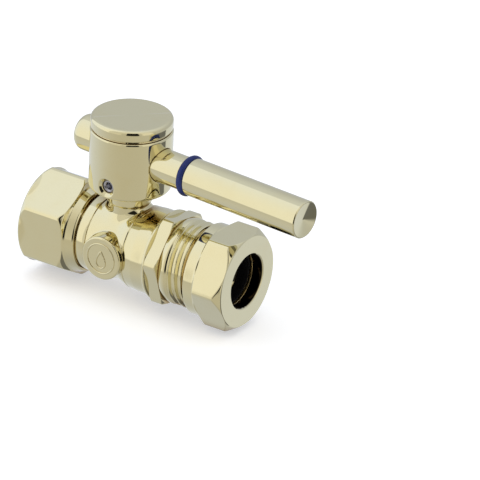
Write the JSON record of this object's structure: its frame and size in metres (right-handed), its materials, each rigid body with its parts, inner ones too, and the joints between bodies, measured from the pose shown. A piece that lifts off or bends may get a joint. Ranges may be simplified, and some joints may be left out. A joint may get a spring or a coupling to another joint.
{
  "type": "straight stop valve",
  "caption": "Quarter-turn straight supply stop: female threaded inlet, ball body, hub with lever rod and indicator ring, slip-joint outlet nut.",
  "frame": {"origin": "centre of the inlet mouth, on the pipe axis", "axes": "+X along the pipe axis in the direction of flow, +Z along the stem towards the handle"},
  "size_m": [0.0753, 0.0256, 0.0457],
  "materials": {
    "body_brass": "polished pale brass plating",
    "connector_brass": "polished pale brass plating",
    "handle_brass": "polished pale brass plating",
    "cap_brass": "polished pale brass plating",
    "lever_brass": "polished pale brass plating",
    "nut_brass": "polished pale brass plating",
    "stem_brass": "machined bare brass",
    "ball_chrome": "polished chrome plating on brass",
    "screw_steel": "bright zinc-plated steel",
    "indicator_rubber": "navy blue, satin; red for a hot line",
    "seal_rubber": "black, matt",
    "washer_rubber": "black, matt",
    "seat_plastic": "white, waxy"
  },
  "bodies": {
    "housing": {"valve_body": "body_brass", "inlet_connector": "connector_brass", "body_seal_ring": "seal_rubber", "inlet_seat": "seat_plastic", "outlet_seat": "seat_plastic", "handle_washer": "body_brass", "stop_pin": "screw_steel"},
    "handle": {"handle_hub": "handle_brass", "hub_cap": "cap_brass", "lever_rod": "lever_brass", "rear_stub": "lever_brass", "indicator_ring": "indicator_rubber", "hub_set_screw": "screw_steel", "lever_grub_screw": "screw_steel", "stem": "stem_brass", "ball": "ball_chrome", "stem_thrust_washer": "seat_plastic", "stem_o_ring_lower": "seal_rubber", "stem_o_ring_upper": "seal_rubber"},
    "slip_seal": {"cone_washer": "washer_rubber", "friction_ring": "stem_brass"},
    "nut": {"slip_nut": "nut_brass"}
  },
  "joints": [
    {"name": "lever_turn", "type": "hinge", "parent": "housing", "child": "handle", "pos_m": [0.024, 0, 0], "axis": [0, 0, 1], "range_deg": [-85.1, 4.9]},
    {"name": "nut_travel", "type": "slide", "parent": "housing", "child": "slip_seal", "axis": [1, 0, 0], "range_m": [0, 0.0073]},
    {"name": "nut_spin", "type": "hinge", "parent": "slip_seal", "child": "nut", "pos_m": [0.0575, 0, 0], "axis": [1, 0, 0], "range_deg": [0, 1440]}
  ],
  "couplings": [
    {"joint": "nut_travel", "follows": "nut_spin", "m_per_rad": 0.00028871}
  ]
}
